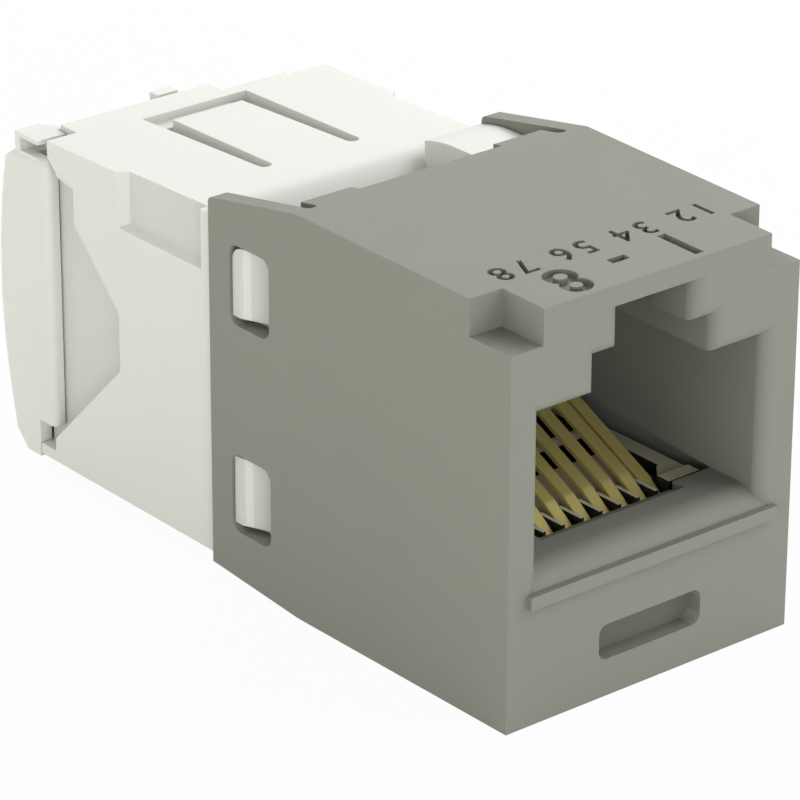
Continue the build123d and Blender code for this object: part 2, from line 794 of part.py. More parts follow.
# Termination cap: a bowed shell with side plates, a cable entry and pushers for the wires
with BuildPart() as cap:
    with BuildSketch(Plane.YZ):
        cap_notch = recess_floor + cap_clearance
        sill_end = body_rear + sill_tail + cap_clearance
        with BuildLine():
            bow = ThreePointArc(
                *side_points(
                    [
                        (cap_shoulder - 0.05, cap_bottom + 2 * cap_foot_chamfer),
                        (cap_bow, cap_middle),
                        (cap_shoulder, cap_top - cap_slope),
                    ]
                )
            )
            Polyline(
                bow @ 1,
                *side_points(
                    [
                        (cap_heel, cap_top),
                        (cap_front, cap_top),
                        (cap_front, cap_notch + cap_cutout),
                        (sill_end, cap_notch + cap_cutout),
                        (sill_end, cap_bottom),
                        (cap_shoulder - 0.2 - cap_foot_chamfer, cap_bottom),
                        (cap_shoulder - 0.2, cap_bottom + cap_foot_chamfer),
                    ]
                ),
                bow @ 0,
            )
        make_face()
    extrude(amount=body_half, both=True)
    fillet(cap.edges().filter_by(Axis.Z).group_by(Axis.Y)[0], radius=cap_plate_radius)
    top_edges = cap.edges().filter_by(Axis.Y).group_by(Axis.Z)[-1]
    fillet(top_edges, radius=cap_edge_radius)

    # Hollow: open at the front, at the bottom and, between two flanges, at the top
    inner_half = body_half - cap_wall
    rim_start = cap_heel - cap_rim
    with BuildSketch(Plane.XY):
        with Locations((0, at(cap_front))):
            Rectangle(2 * inner_half, rim_start - cap_front, align=(Align.CENTER, Align.MIN))
    extrude(amount=cap_top - cap_wall, mode=Mode.SUBTRACT)
    with BuildSketch(Plane.XY.offset(cap_middle)):
        with Locations((0, at(cap_front))):
            Rectangle(
                2 * (body_half - cap_flange),
                rim_start - cap_front,
                align=(Align.CENTER, Align.MIN),
            )
    extrude(amount=cap_top, mode=Mode.SUBTRACT)
    with BuildSketch(cross(rim_start)):
        with Locations((0, cap_middle)):
            Rectangle(2 * inner_half, cap_top - cap_bottom - 2 * cap_rear_wall)
    extrude(amount=rim_start - cap_shoulder + cap_rear_wall, mode=Mode.SUBTRACT)
    with BuildSketch(cross(rim_start)):
        with Locations((0, cap_middle)):
            RectangleRounded(entry_width, entry_height, entry_corner)
    extrude(amount=rim_start - cap_bow - cap_rim, mode=Mode.SUBTRACT)

    # Pushers that press the wires into the terminals
    with BuildSketch(cross(cap_shoulder - cap_rear_wall)):
        with Locations(*terminal_places):
            Rectangle(pusher_width, pusher_height)
    extrude(amount=cap_shoulder - cap_rear_wall - cap_front + pusher_reach)

    # The corner tab over the left side plate, on a low wall, and the post behind the roof's tail
    tab_side = -body_half + tab_width
    tail_end = body_rear + roof_tail + 2 * cap_clearance
    with BuildSketch(Plane.XY.offset(cap_top - tab_thickness)):
        with BuildLine():
            Polyline(
                (-body_half, at(tab_start)),
                (tab_side - tab_step, at(tab_start)),
                (tab_side - tab_step, at(tail_end)),
                (tab_side, at(tail_end)),
                (tab_side, at(cap_heel - tab_corner[1])),
                (tab_side - tab_corner[0], at(cap_heel)),
                (-body_half, at(cap_heel)),
                close=True,
            )
        make_face()
    extrude(amount=tab_top - cap_top + tab_thickness)
    with BuildSketch(Plane.XY.offset(cap_top)):
        with Locations((-body_half, at(cap_heel - tab_wall))):
            Rectangle(2 * tab_width, cap_heel, align=(Align.CENTER, Align.MAX))
    extrude(amount=tab_rise - tab_thickness, mode=Mode.SUBTRACT)
    with BuildSketch(Plane.XY.offset(cap_middle)):
        with Locations((-body_half + tab_hole_inset, at(rim_start + cap_clearance))):
            Rectangle(*tab_hole, align=(Align.MIN, Align.MAX))
    extrude(amount=cap_top - cap_middle, mode=Mode.SUBTRACT)
    with BuildSketch(Plane.XY.offset(cap_top - tab_thickness)):
        with Locations((post_centre, at(rim_start))):
            Rectangle(post_width, post_length, align=(Align.CENTER, Align.MIN))
    extrude(amount=post_rise + tab_thickness)
finish(cap, "termination_cap")
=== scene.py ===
"""Looks of the snap-in jack: finishes, softened edges, contact numbers, light and camera."""

import json
import logging
import math
from abc import ABC, abstractmethod
from dataclasses import dataclass, field
from enum import Enum

import bmesh
import bpy
from mathutils import Matrix, Vector

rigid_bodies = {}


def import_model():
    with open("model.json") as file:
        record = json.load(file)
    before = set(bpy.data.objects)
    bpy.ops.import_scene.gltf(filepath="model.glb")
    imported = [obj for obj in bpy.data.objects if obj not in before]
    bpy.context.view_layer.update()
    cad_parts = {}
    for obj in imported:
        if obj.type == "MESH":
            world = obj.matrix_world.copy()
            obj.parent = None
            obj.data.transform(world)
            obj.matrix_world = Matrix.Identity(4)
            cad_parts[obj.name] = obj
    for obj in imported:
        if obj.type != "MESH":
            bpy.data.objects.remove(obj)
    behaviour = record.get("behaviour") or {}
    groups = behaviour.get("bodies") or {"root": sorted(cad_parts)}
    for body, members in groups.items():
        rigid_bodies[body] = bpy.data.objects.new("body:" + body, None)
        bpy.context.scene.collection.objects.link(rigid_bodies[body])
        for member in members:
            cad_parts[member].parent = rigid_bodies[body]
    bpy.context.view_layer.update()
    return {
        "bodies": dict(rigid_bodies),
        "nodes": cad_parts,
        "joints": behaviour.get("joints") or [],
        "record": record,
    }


LOG = logging.getLogger("jack")
MM = 0.001
MICRON = 0.001 * MM

Colour = tuple[float, float, float]
Point = tuple[float, float, float]
Tree = bpy.types.NodeTree
Socket = bpy.types.NodeSocket

BLACK: Colour = (0.0, 0.0, 0.0)
WHITE: Colour = (1.0, 1.0, 1.0)

# How much of a face's normal lies along an axis: straight along it from the first share on,
# and an upright wall below the second share of height.
STRAIGHT = 0.9
UPRIGHT = 0.5


class Grain(Enum):
    """How coarse a moulding tool's spark-eroded surface is, as grains to a metre."""

    FINE = 14000.0
    COARSE = 5500.0


class Place(Enum):
    """The parts of a piece where shade is painted into the colour, each with a mask group of that
    name.
    """

    DEEP_GAPS = "painted_gap_shade"
    INSET_SIDES = "painted_side_shade"
    POCKET_FLOOR = "painted_pocket_shade"


def new_group(name: str, inputs: dict[str, float], output: str) -> Tree:
    """Makes an empty shader node group of plain numbers.

    Args:
        name: the group's name.
        inputs: the name and the default of each input.
        output: the name of its one output.

    Returns:
        The group, with its input and output nodes in place.
    """
    group = bpy.data.node_groups.new(name, "ShaderNodeTree")
    for title, value in inputs.items():
        socket = group.interface.new_socket(
            name=title, in_out="INPUT", socket_type="NodeSocketFloat"
        )
        socket.default_value = value
    group.interface.new_socket(name=output, in_out="OUTPUT", socket_type="NodeSocketFloat")
    group.nodes.new("NodeGroupInput").name = "in"
    group.nodes.new("NodeGroupOutput").name = "out"
    return group


def group_node(tree: Tree, group: Tree, values: dict[str, float]) -> Socket:
    """Adds a shared group to a tree.

    Args:
        tree: the tree that it goes in.
        group: the shared group.
        values: the inputs that are set, by name.

    Returns:
        The group's one output.
    """
    node = tree.nodes.new("ShaderNodeGroup")
    node.node_tree = group
    for name, value in values.items():
        node.inputs[name].default_value = value
    return node.outputs[0]


def math_node(tree: Tree, operation: str, *values: Socket | float) -> Socket:
    """Adds a math node.

    Args:
        tree: the tree that it goes in.
        operation: Blender's name of the operation.
        values: a socket or a number for each input.

    Returns:
        The node's output.
    """
    node = tree.nodes.new("ShaderNodeMath")
    node.operation = operation
    for place, value in enumerate(values):
        if isinstance(value, Socket):
            tree.links.new(value, node.inputs[place])
        else:
            node.inputs[place].default_value = value
    return node.outputs[0]


def mixed(tree: Tree, share: Socket, first: Socket | Colour, second: Socket | Colour) -> Socket:
    """Adds a blend of two colours.

    Args:
        tree: the tree that it goes in.
        share: how much of the second colour there is.
        first: a socket or a fixed colour.
        second: a socket or a fixed colour.

    Returns:
        The blended colour.
    """
    blend = tree.nodes.new("ShaderNodeMix")
    blend.data_type = "RGBA"
    tree.links.new(share, blend.inputs["Factor"])
    for name, colour in (("A", first), ("B", second)):
        if isinstance(colour, Socket):
            tree.links.new(colour, blend.inputs[name])
        else:
            blend.inputs[name].default_value = (*colour, 1.0)
    return blend.outputs["Result"]


def split(group: Tree, output: str) -> bpy.types.NodeOutputs:
    """Splits a texture coordinate into its parts.

    Args:
        group: the group that it goes in.
        output: Object for a point's place, or Normal for the way that its face looks.

    Returns:
        The outputs X, Y and Z.
    """
    place = group.nodes.new("ShaderNodeTexCoord")
    parts = group.nodes.new("ShaderNodeSeparateXYZ")
    group.links.new(place.outputs[output], parts.inputs["Vector"])
    return parts.outputs


class SurfaceEffects:
    """The node groups that the finishes share."""

    def __init__(self) -> None:
        """Builds each group once."""
        self.grain = self._grain()
        self.tone = self._tone()
        self.rolled = self._rolled()
        # Masks of the places where shade is painted into the colour.
        self.masks = {
            Place.DEEP_GAPS: self._gap_shade_mask(),
            Place.INSET_SIDES: self._side_shade_mask(),
            Place.POCKET_FLOOR: self._pocket_shade_mask(),
        }

    @staticmethod
    def _grain() -> Tree:
        """Builds the fine pebbled height of a moulded or lacquered surface.

        Returns:
            A group that takes Scale and puts out Height.
        """
        group = new_group("pebbled_grain", {"Scale": Grain.FINE.value}, "Height")
        place = group.nodes.new("ShaderNodeTexCoord")
        cells = group.nodes.new("ShaderNodeTexVoronoi")
        cells.feature = "SMOOTH_F1"
        cells.inputs["Smoothness"].default_value = 0.7
        noise = group.nodes.new("ShaderNodeTexNoise")
        noise.inputs["Detail"].default_value = 3.0
        start, end = group.nodes["in"], group.nodes["out"]
        for texture in (cells, noise):
            group.links.new(place.outputs["Object"], texture.inputs["Vector"])
            group.links.new(start.outputs["Scale"], texture.inputs["Scale"])
        total = math_node(group, "ADD", cells.outputs["Distance"], noise.outputs["Fac"])
        group.links.new(math_node(group, "MULTIPLY", total, 0.5), end.inputs["Height"])
        return group

    @staticmethod
    def _tone() -> Tree:
        """Builds the slow cloudy change of tone that mixed plastic and plating show.

        Returns:
            A group that takes Scale and Contrast and puts out Mask, around one half.
        """
        group = new_group("cloudy_tone", {"Scale": 200.0, "Contrast": 0.5}, "Mask")
        place = group.nodes.new("ShaderNodeTexCoord")
        noise = group.nodes.new("ShaderNodeTexNoise")
        noise.inputs["Detail"].default_value = 4.0
        noise.inputs["Roughness"].default_value = 0.55
        start, end = group.nodes["in"], group.nodes["out"]
        group.links.new(place.outputs["Object"], noise.inputs["Vector"])
        group.links.new(start.outputs["Scale"], noise.inputs["Scale"])
        centred = math_node(group, "SUBTRACT", noise.outputs["Fac"], 0.5)
        spread = math_node(group, "MULTIPLY", centred, start.outputs["Contrast"])
        group.links.new(math_node(group, "ADD", spread, 0.5), end.inputs["Mask"])
        return group

    @staticmethod
    def _rolled() -> Tree:
        """Builds the long fine lines that rolling leaves along a metal strip.

        Returns:
            A group that takes Scale and puts out Height.
        """
        group = new_group("rolled_lines", {"Scale": 9000.0}, "Height")
        place = group.nodes.new("ShaderNodeTexCoord")
        stretch = group.nodes.new("ShaderNodeMapping")
        stretch.inputs["Scale"].default_value = (1.0, 0.03, 0.03)
        noise = group.nodes.new("ShaderNodeTexNoise")
        noise.inputs["Detail"].default_value = 2.0
        start, end = group.nodes["in"], group.nodes["out"]
        group.links.new(place.outputs["Object"], stretch.inputs["Vector"])
        group.links.new(stretch.outputs["Vector"], noise.inputs["Vector"])
        group.links.new(start.outputs["Scale"], noise.inputs["Scale"])
        group.links.new(noise.outputs["Fac"], end.inputs["Height"])
        return group

    @staticmethod
    def _gap_shade_mask() -> Tree:
        """Builds the mask of shade painted into a comb's gaps, beside its ramp and in front of
        it, and onto the ramp.

        Returns:
            A group that takes Top, Span, Half Width, Ramp Start and Ramp Share and puts out Mask.
        """
        names = ("Top", "Span", "Half Width", "Ramp Start", "Ramp Share")
        group = new_group(Place.DEEP_GAPS.value, dict.fromkeys(names, MM), "Mask")
        point, look = split(group, "Object"), split(group, "Normal")
        given = group.nodes["in"].outputs
        # Painted shade: the comb below its top and on upright walls beside and in front of the
        # ramp, and a share of it on the ramp.
        drop = math_node(group, "SUBTRACT", given["Top"], point["Z"])
        below = math_node(group, "DIVIDE", drop, given["Span"])
        below.node.use_clamp = True
        aside = math_node(group, "ABSOLUTE", point["X"])
        outside = math_node(group, "GREATER_THAN", aside, given["Half Width"])
        ahead = math_node(group, "LESS_THAN", point["Y"], given["Ramp Start"])
        chosen = math_node(group, "MAXIMUM", outside, ahead)
        tilt = math_node(group, "ABSOLUTE", look["Z"])
        wall = math_node(group, "LESS_THAN", tilt, UPRIGHT)
        low_or_wall = math_node(group, "MAXIMUM", below, wall)
        comb = math_node(group, "MULTIPLY", low_or_wall, chosen)
        rest = math_node(group, "SUBTRACT", 1.0, chosen)
        ramp = math_node(group, "MULTIPLY", rest, given["Ramp Share"])
        mask = math_node(group, "ADD", comb, ramp)
        group.links.new(mask, group.nodes["out"].inputs["Mask"])
        return group

    @staticmethod
    def _side_shade_mask() -> Tree:
        """Builds the mask of shade painted onto thin side walls inside the outermost ones, and
        onto the lugs on them.

        Returns:
            A group that takes Half Width, Least Width and Lug Width and puts out Mask.
        """
        names = ("Half Width", "Least Width", "Lug Width")
        group = new_group(Place.INSET_SIDES.value, dict.fromkeys(names, 10 * MM), "Mask")
        given = group.nodes["in"].outputs
        aside = math_node(group, "ABSOLUTE", split(group, "Object")["X"])
        tilt = math_node(group, "ABSOLUTE", split(group, "Normal")["X"])
        inside = math_node(group, "LESS_THAN", aside, given["Half Width"])
        outside = math_node(group, "GREATER_THAN", aside, given["Least Width"])
        wall = math_node(group, "MULTIPLY", inside, outside)
        lug = math_node(group, "GREATER_THAN", aside, given["Lug Width"])
        either = math_node(group, "MAXIMUM", wall, lug)
        facing = math_node(group, "GREATER_THAN", tilt, STRAIGHT)
        mask = math_node(group, "MULTIPLY", either, facing)
        group.links.new(mask, group.nodes["out"].inputs["Mask"])
        return group

    @staticmethod
    def _pocket_shade_mask() -> Tree:
        """Builds the mask of shade painted onto the floor of a shallow pocket in the front face.

        Returns:
            A group that takes Front, Top and Half Width and puts out Mask.
        """
        names = ("Front", "Top", "Half Width")
        group = new_group(Place.POCKET_FLOOR.value, dict.fromkeys(names, MM), "Mask")
        point, look = split(group, "Object"), split(group, "Normal")
        given = group.nodes["in"].outputs
        behind = math_node(group, "GREATER_THAN", point["Y"], given["Front"])
        below = math_node(group, "LESS_THAN", point["Z"], given["Top"])
        aside = math_node(group, "ABSOLUTE", point["X"])
        within = math_node(group, "LESS_THAN", aside, given["Half Width"])
        facing = math_node(group, "LESS_THAN", look["Y"], -STRAIGHT)
        low = math_node(group, "MULTIPLY", behind, below)
        placed = math_node(group, "MULTIPLY", low, within)
        mask = math_node(group, "MULTIPLY", placed, facing)
        group.links.new(mask, group.nodes["out"].inputs["Mask"])
        return group


@dataclass(frozen=True)
class PaintedShade:
    """Shade painted into some parts of a piece: the mask's settings, its strength and colour."""

    place: Place
    settings: dict[str, float]
    share: float = 1.0
    # The painted shade's colour, black unless given.
    colour: Colour = BLACK

    def over(self, tree: Tree, effects: SurfaceEffects, colour: Socket) -> Socket:
        """Lays the painted shade over a colour.

        Args:
            tree: the material's tree.
            effects: the shared node groups.
            colour: the plain colour.

        Returns:
            The shaded colour.
        """
        mask = group_node(tree, effects.masks[self.place], self.settings)
        share = math_node(tree, "MULTIPLY", mask, self.share)
        return mixed(tree, share, colour, self.colour)


@dataclass(frozen=True, kw_only=True)
class Finish(ABC):
    """What every finish has: two near tones, and a roughness that drifts with them."""

    name: str
    colour: Colour
    shade: Colour
    roughness: float
    drift: float
    tone_scale: float
    tone_contrast: float = 0.8
    depth: float

    def material(self, effects: SurfaceEffects) -> bpy.types.Material:
        """Builds the material.

        Args:
            effects: the shared node groups.

        Returns:
            The material.
        """
        made = bpy.data.materials.new(self.name)
        made.use_nodes = True
        tree = made.node_tree
        surface = tree.nodes["Principled BSDF"]
        self._settle(surface)
        settings = {"Scale": self.tone_scale, "Contrast": self.tone_contrast}
        tone = group_node(tree, effects.tone, settings)
        colour = self._shaded(tree, effects, mixed(tree, tone, self.shade, self.colour))
        tree.links.new(colour, surface.inputs["Base Color"])
        least = self.roughness - self.drift / 2
        rough = math_node(tree, "MULTIPLY_ADD", tone, self.drift, least)
        tree.links.new(rough, surface.inputs["Roughness"])
        bump = tree.nodes.new("ShaderNodeBump")
        bump.inputs["Distance"].default_value = self.depth
        tree.links.new(self._relief(tree, effects), bump.inputs["Height"])
        tree.links.new(bump.outputs["Normal"], surface.inputs["Normal"])
        return made

    @abstractmethod
    def _settle(self, surface: bpy.types.Node) -> None:
        """Sets the surface's constants."""

    @abstractmethod
    def _shaded(self, tree: Tree, effects: SurfaceEffects, colour: Socket) -> Socket:
        """Gives the colour its changes by place, such as painted shade."""

    @abstractmethod
    def _relief(self, tree: Tree, effects: SurfaceEffects) -> Socket:
        """Adds the fine height of the surface."""


@dataclass(frozen=True, kw_only=True)
class MouldedPlastic(Finish):
    """A plain moulded plastic with a fine grain."""

    grain: Grain
    drift: float = 0.12
    tone_scale: float = 260.0
    depth: float = 4.0 * MICRON
    subsurface: float = 0.0
    subsurface_reach: float = 0.6 * MM
    subsurface_tint: Colour = (1.0, 0.9, 0.7)
    specular: float = 0.4
    # Share of the colour that bounced light picks up; below one, this paints shade into recesses.
    bounce: float = 0.35
    # Shade painted into the colour in some parts, if any.
    painted_shade: PaintedShade | None = None

    def _settle(self, surface: bpy.types.Node) -> None:
        """Sets how glossy and how translucent the plastic is.

        Args:
            surface: the material's surface node.
        """
        surface.inputs["Specular IOR Level"].default_value = self.specular
        surface.inputs["Subsurface Weight"].default_value = self.subsurface
        surface.inputs["Subsurface Scale"].default_value = self.subsurface_reach
        surface.inputs["Subsurface Radius"].default_value = self.subsurface_tint

    def _shaded(self, tree: Tree, effects: SurfaceEffects, colour: Socket) -> Socket:
        """Adds the painted shade, and lets less light bounce on, which paints shade into
        recesses.

        Args:
            tree: the material's tree.
            effects: the shared node groups.
            colour: the plain colour.

        Returns:
            The colour to use.
        """
        if self.painted_shade is not None:
            colour = self.painted_shade.over(tree, effects, colour)
        if self.bounce < 1.0:
            path = tree.nodes.new("ShaderNodeLightPath")
            bounced = path.outputs["Is Diffuse Ray"]
            share = math_node(tree, "MULTIPLY", bounced, 1.0 - self.bounce)
            colour = mixed(tree, share, colour, BLACK)
        return colour

    def _relief(self, tree: Tree, effects: SurfaceEffects) -> Socket:
        """Adds the moulding tool's grain."""
        return group_node(tree, effects.grain, {"Scale": self.grain.value})


@dataclass(frozen=True, kw_only=True)
class PlatedStrip(Finish):
    """A rolled metal strip with a thin plating."""

    drift: float = 0.1
    tone_scale: float = 700.0
    depth: float = 0.8 * MICRON
    metallic: float = 1.0

    def _settle(self, surface: bpy.types.Node) -> None:
        """Sets how metallic the strip looks."""
        surface.inputs["Metallic"].default_value = self.metallic

    def _shaded(self, tree: Tree, effects: SurfaceEffects, colour: Socket) -> Socket:
        """Leaves the colour as it is."""
        return colour

    def _relief(self, tree: Tree, effects: SurfaceEffects) -> Socket:
        """Adds the rolled lines."""
        return group_node(tree, effects.rolled, {})


def dress(node: bpy.types.Object, material: bpy.types.Material) -> None:
    """Gives a node one material all over."""
    node.data.materials.clear()
    node.data.materials.append(material)


class EdgeFinish:
    """Softens sharp edges with modifiers, and keeps flat faces flat in the light."""

    join_distance = 2.0 * MICRON
    flat_share = 0.99999
    flat_mark = 0.99
    fold_angles = (0.005, 0.48)
    cut_angles = (0.75, math.pi)
    whole_angle = math.radians(0.1)
    soft_angle = math.radians(28.0)
    face_weight = 100

    def __init__(self) -> None:
        """Builds the geometry groups once."""
        self.joined = self._joined()
        self.folds = self._creased("kept_folds", *self.fold_angles, flat_only=True)
        self.cuts = self._creased("kept_cuts", *self.cut_angles, flat_only=False)

    @staticmethod
    def _start(name: str) -> Tree:
        """Makes an empty geometry group with one geometry going in and one coming out.

        Args:
            name: the group's name.

        Returns:
            The group.
        """
        group = bpy.data.node_groups.new(name, "GeometryNodeTree")
        for way in ("INPUT", "OUTPUT"):
            group.interface.new_socket(
                name="Geometry", in_out=way, socket_type="NodeSocketGeometry"
            )
        group.nodes.new("NodeGroupInput").name = "in"
        group.nodes.new("NodeGroupOutput").name = "out"
        return group

    def _joined(self) -> Tree:
        """Marks the patches of the surface that are flat, then joins all patches at their edges.

        Returns:
            The geometry group.
        """
        group = self._start("joined_patches")
        nodes, links = group.nodes, group.links
        patch = nodes.new("GeometryNodeInputMeshIsland")
        totals = []
        for kind in ("FLOAT_VECTOR", "FLOAT"):
            total = nodes.new("GeometryNodeAccumulateField")
            total.data_type = kind
            total.domain = "FACE"
            links.new(patch.outputs["Island Index"], total.inputs["Group ID"])
            totals.append(total)
        normals, count = totals
        look = nodes.new("GeometryNodeInputNormal")
        links.new(look.outputs["Normal"], normals.inputs["Value"])
        length = nodes.new("ShaderNodeVectorMath")
        length.operation = "LENGTH"
        links.new(normals.outputs["Total"], length.inputs[0])
        share = math_node(group, "DIVIDE", length.outputs["Value"], count.outputs["Total"])
        flat = math_node(group, "GREATER_THAN", share, self.flat_share)
        store = nodes.new("GeometryNodeStoreNamedAttribute")
        store.data_type = "FLOAT"
        store.domain = "FACE"
        store.inputs["Name"].default_value = "flat"
        links.new(flat, store.inputs["Value"])
        merge = nodes.new("GeometryNodeMergeByDistance")
        merge.inputs["Distance"].default_value = self.join_distance
        links.new(nodes["in"].outputs["Geometry"], store.inputs["Geometry"])
        links.new(store.outputs["Geometry"], merge.inputs["Geometry"])
        links.new(merge.outputs["Geometry"], nodes["out"].inputs["Geometry"])
        return group

    def _creased(self, name: str, least: float, most: float, flat_only: bool) -> Tree:
        """Keeps edges crisp whose angle lies in a range.

        Args:
            name: the group's name.
            least: the smallest angle, in radians.
            most: the largest angle, in radians.
            flat_only: whether only edges between two flat patches are meant.

        Returns:
            The geometry group.
        """
        group = self._start(name)
        nodes, links = group.nodes, group.links
        angle = nodes.new("GeometryNodeInputMeshEdgeAngle").outputs["Unsigned Angle"]
        above = math_node(group, "GREATER_THAN", angle, least)
        below = math_node(group, "LESS_THAN", angle, most)
        chosen = math_node(group, "MULTIPLY", above, below)
        if flat_only:
            flat = nodes.new("GeometryNodeInputNamedAttribute")
            flat.data_type = "FLOAT"
            flat.inputs["Name"].default_value = "flat"
            both = math_node(group, "GREATER_THAN", flat.outputs["Attribute"], self.flat_mark)
            chosen = math_node(group, "MULTIPLY", chosen, both)
        shade = nodes.new("GeometryNodeSetShadeSmooth")
        shade.domain = "EDGE"
        shade.inputs["Shade Smooth"].default_value = False
        links.new(chosen, shade.inputs["Selection"])
        links.new(nodes["in"].outputs["Geometry"], shade.inputs["Geometry"])
        links.new(shade.outputs["Geometry"], nodes["out"].inputs["Geometry"])
        return group

    def apply(
        self,
        node: bpy.types.Object,
        width: float,
        segments: int = 2,
        cutters: tuple[bpy.types.Object, ...] = (),
    ) -> None:
        """Adds the modifiers to one node.

        Args:
            node: the CAD node's object.
            width: the rounding's width in metres.
            segments: how many facets each rounding has.
            cutters: solids that are sunk into it after the rounding.
        """
        node.modifiers.new("joined", "NODES").node_group = self.joined
        plain = node.modifiers.new("whole_faces", "DECIMATE")
        plain.decimate_type = "DISSOLVE"
        plain.angle_limit = self.whole_angle
        node.modifiers.new("folds", "NODES").node_group = self.folds
        bevel = node.modifiers.new("soft_edges", "BEVEL")
        bevel.width = width
        bevel.segments = segments
        bevel.limit_method = "ANGLE"
        bevel.angle_limit = self.soft_angle
        bevel.use_clamp_overlap = True
        for cutter in cutters:
            cut = node.modifiers.new("numbers", "BOOLEAN")
            cut.operation = "DIFFERENCE"
            cut.solver = "EXACT"
            cut.use_self = True
            cut.object = cutter
        node.modifiers.new("cuts", "NODES").node_group = self.cuts
        even = node.modifiers.new("even_light", "WEIGHTED_NORMAL")
        even.keep_sharp = True
        even.weight = self.face_weight


@dataclass(frozen=True)
class Engraving:
    """One row of plain contact numbers in the roof plate, which is read from the cable end."""

    text: str
    height: float
    across: float
    behind: float
    spacing: float
    boldness: float
    depth: float = 0.3 * MM
    front: float = -17.1 * MM
    roof: float = 18.0 * MM
    slope: float = 0.0137
    figure_share: float = 0.7

    def cutter(self) -> bpy.types.Object:
        """Builds the hidden solid that sinks the numbers.

        Returns:
            The cutter's mesh object.
        """
        curve = bpy.data.curves.new(f"numbers_{self.text[0]}", "FONT")
        curve.body = self.text
        curve.align_x = "CENTER"
        curve.align_y = "CENTER"
        curve.size = self.height / self.figure_share
        curve.space_character = self.spacing
        curve.extrude = self.depth
        curve.resolution_u = 4
        shape = bpy.data.objects.new(curve.name, curve)
        bpy.context.scene.collection.objects.link(shape)
        bpy.context.view_layer.update()
        drawn = shape.evaluated_get(bpy.context.evaluated_depsgraph_get())
        mesh = bpy.data.meshes.new_from_object(drawn)
        bpy.data.objects.remove(shape)
        self._embolden(mesh)
        centre = (self.across, self.front + self.behind, self.roof + self.slope * self.behind)
        turn = Matrix.Rotation(self.slope, 4, "X") @ Matrix.Rotation(math.pi, 4, "Z")
        mesh.transform(Matrix.Translation(centre) @ turn)
        cutter = bpy.data.objects.new(f"{curve.name}_cutter", mesh)
        bpy.context.scene.collection.objects.link(cutter)
        cutter.hide_render = True
        cutter.hide_viewport = True
        return cutter

    def _embolden(self, mesh: bpy.types.Mesh) -> None:
        """Welds the digits into closed solids and moves their walls outwards.

        Args:
            mesh: the digits' mesh.
        """
        solid = bmesh.new()
        solid.from_mesh(mesh)
        bmesh.ops.remove_doubles(solid, verts=solid.verts, dist=MICRON)
        bmesh.ops.recalc_face_normals(solid, faces=solid.faces)
        shifts = [self._outward(corner) * self.boldness for corner in solid.verts]
        for corner, shift in zip(solid.verts, shifts):
            corner.co += shift
        solid.to_mesh(mesh)
        solid.free()

    @staticmethod
    def _outward(corner: bmesh.types.BMVert) -> Vector:
        """Finds the way out of a digit at one corner.

        Args:
            corner: the corner.

        Returns:
            The move that puts each wall beside it one unit further out.
        """
        walls = [face.normal for face in corner.link_faces if abs(face.normal.z) < UPRIGHT]
        total = sum(walls, Vector())
        reach = max(total.length_squared, len(walls))
        return total * len(walls) / reach if walls else total


@dataclass
class Housing:
    """The grey front housing with its plug opening."""

    frame: dict
    effects: SurfaceEffects
    edges: EdgeFinish
    edge: float = 0.09 * MM
    numbers: tuple[Engraving, ...] = (
        Engraving("12 34 56 78", 1.2 * MM, 0.2 * MM, 3.6 * MM, 1.38, 0.03 * MM),
        Engraving("1-8", 2.2 * MM, -0.55 * MM, 1.6 * MM, 2.05, 0.07 * MM),
    )
    finish: MouldedPlastic = field(
        default_factory=lambda: MouldedPlastic(
            name="housing_grey",
            colour=(0.298, 0.305, 0.264),
            shade=(0.28, 0.287, 0.246),
            roughness=0.62,
            grain=Grain.FINE,
            specular=0.22,
            bounce=0.15,
            # Painted shade on the floor of the label pocket in the front face.
            painted_shade=PaintedShade(
                Place.POCKET_FLOOR,
                {"Front": -16.9 * MM, "Top": 4.0 * MM, "Half Width": 3.0 * MM},
                0.32,
            ),
        )
    )

    def build(self) -> None:
        """Dresses the housing, softens its edges and sinks the contact numbers."""
        node = self.frame["nodes"]["front_housing"]
        dress(node, self.finish.material(self.effects))
        self.edges.apply(node, self.edge, cutters=tuple(row.cutter() for row in self.numbers))
        LOG.info("housing dressed")


@dataclass
class RearBody:
    """The white rear body and the termination cap behind it."""

    frame: dict
    effects: SurfaceEffects
    edges: EdgeFinish
    edge: float = 0.08 * MM
    finish: MouldedPlastic = field(
        default_factory=lambda: MouldedPlastic(
            name="body_white",
            colour=(0.84, 0.845, 0.81),
            shade=(0.81, 0.815, 0.775),
            roughness=0.45,
            grain=Grain.FINE,
            subsurface=0.15,
            bounce=0.75,
            # Painted shade, a little darker, on the inset side panels and on the lugs.
            painted_shade=PaintedShade(
                Place.INSET_SIDES,
                {"Half Width": 7.45 * MM, "Least Width": 6.0 * MM, "Lug Width": 7.6 * MM},
                0.13,
            ),
        )
    )

    def build(self) -> None:
        """Dresses the rear body and the cap and softens their edges."""
        material = self.finish.material(self.effects)
        for name in ("rear_body", "termination_cap"):
            node = self.frame["nodes"][name]
            dress(node, material)
            self.edges.apply(node, self.edge)
        LOG.info("rear body and cap dressed")


